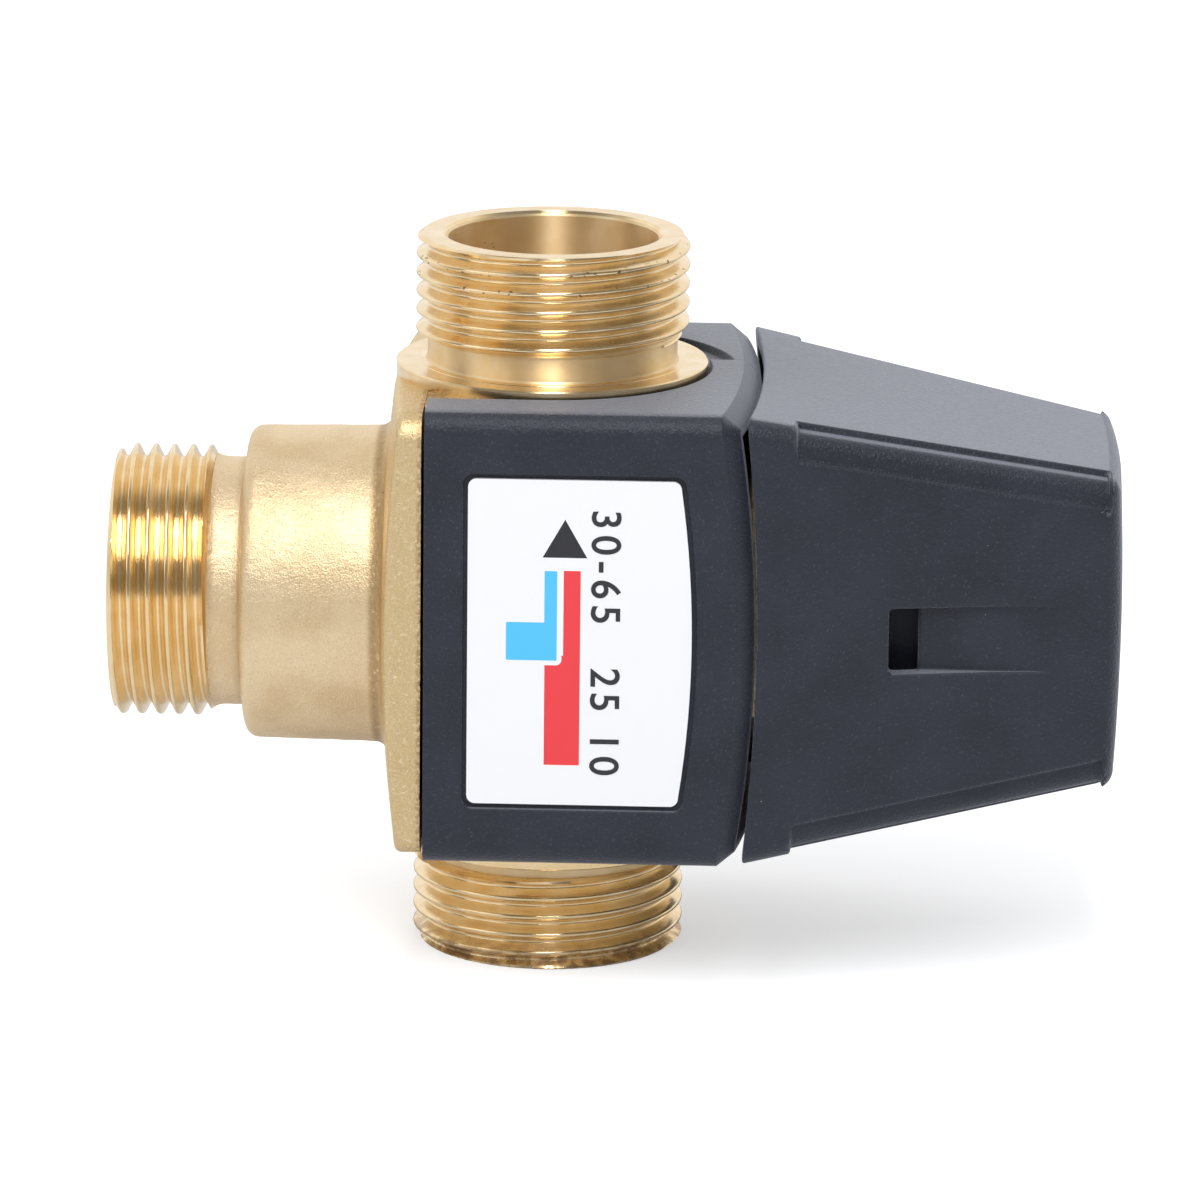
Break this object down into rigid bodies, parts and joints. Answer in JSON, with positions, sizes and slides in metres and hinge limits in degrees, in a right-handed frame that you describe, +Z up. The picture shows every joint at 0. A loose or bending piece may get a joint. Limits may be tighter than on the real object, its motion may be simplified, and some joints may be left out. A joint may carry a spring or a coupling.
{
  "type": "thermostatic mixing valve",
  "caption": "Brass mixing valve with outside-threaded ports, plastic half covers, a square protective cap and a wax-driven cartridge that blends hot and cold water.",
  "frame": {"origin": "centre of the hot inlet's end face, the lowest face of the valve", "axes": "+Z up the vertical ports towards the mixed outlet, +X along the cartridge from the cold inlet towards the cap, -Y out of the labelled front"},
  "size_m": [0.0972, 0.044, 0.07],
  "materials": {
    "cast_brass": "sand-cast brass, turned where threaded",
    "turned_brass": "turned",
    "element_copper": "drawn copper",
    "seat_steel": "turned stainless steel",
    "spring_steel": "drawn wire",
    "cover_plastic": "finely grained",
    "ring_plastic": "moulded",
    "label_film": "white printed film",
    "seal_rubber": "moulded"
  },
  "bodies": {
    "base": {"valve_body": "cast_brass", "front_cover": "cover_plastic", "rear_cover": "cover_plastic", "label": "label_film", "cap_ring": "ring_plastic", "bonnet": "turned_brass", "bonnet_seal": "seal_rubber", "cold_seat_ring": "seat_steel", "hot_seat_ring": "seat_steel", "return_spring": "spring_steel"},
    "spindle": {"spindle": "turned_brass", "inner_spindle_seal": "seal_rubber", "outer_spindle_seal": "seal_rubber", "spindle_clip": "spring_steel"},
    "carrier": {"setting_carrier": "turned_brass", "overload_spring": "spring_steel", "plunger": "seat_steel", "element_piston": "seat_steel"},
    "element": {"wax_element": "element_copper", "element_clip": "spring_steel", "hot_disc": "turned_brass", "cold_disc": "turned_brass", "cold_disc_nut": "turned_brass"},
    "cap": {"setting_cap": "cover_plastic"}
  },
  "joints": [
    {"name": "cap_pull", "type": "slide", "parent": "base", "child": "cap", "axis": [1, 0, 0], "range_m": [0, 0.036]},
    {"name": "spindle_turn", "type": "hinge", "parent": "base", "child": "spindle", "pos_m": [0.03, 0, 0.035], "axis": [1, 0, 0], "range_deg": [-250, 250]},
    {"name": "carrier_slide", "type": "slide", "parent": "base", "child": "carrier", "axis": [1, 0, 0], "range_m": [-0.000486, 0.000486], "deforming": ["return_spring"]},
    {"name": "element_slide", "type": "slide", "parent": "carrier", "child": "element", "axis": [1, 0, 0], "range_m": [-0.0004, 0.0004], "stiffness_N_per_m": 1500, "deforming": ["return_spring"]}
  ],
  "couplings": [
    {"joint": "spindle_turn", "follows": "carrier_slide", "rad_per_m": -8976}
  ]
}
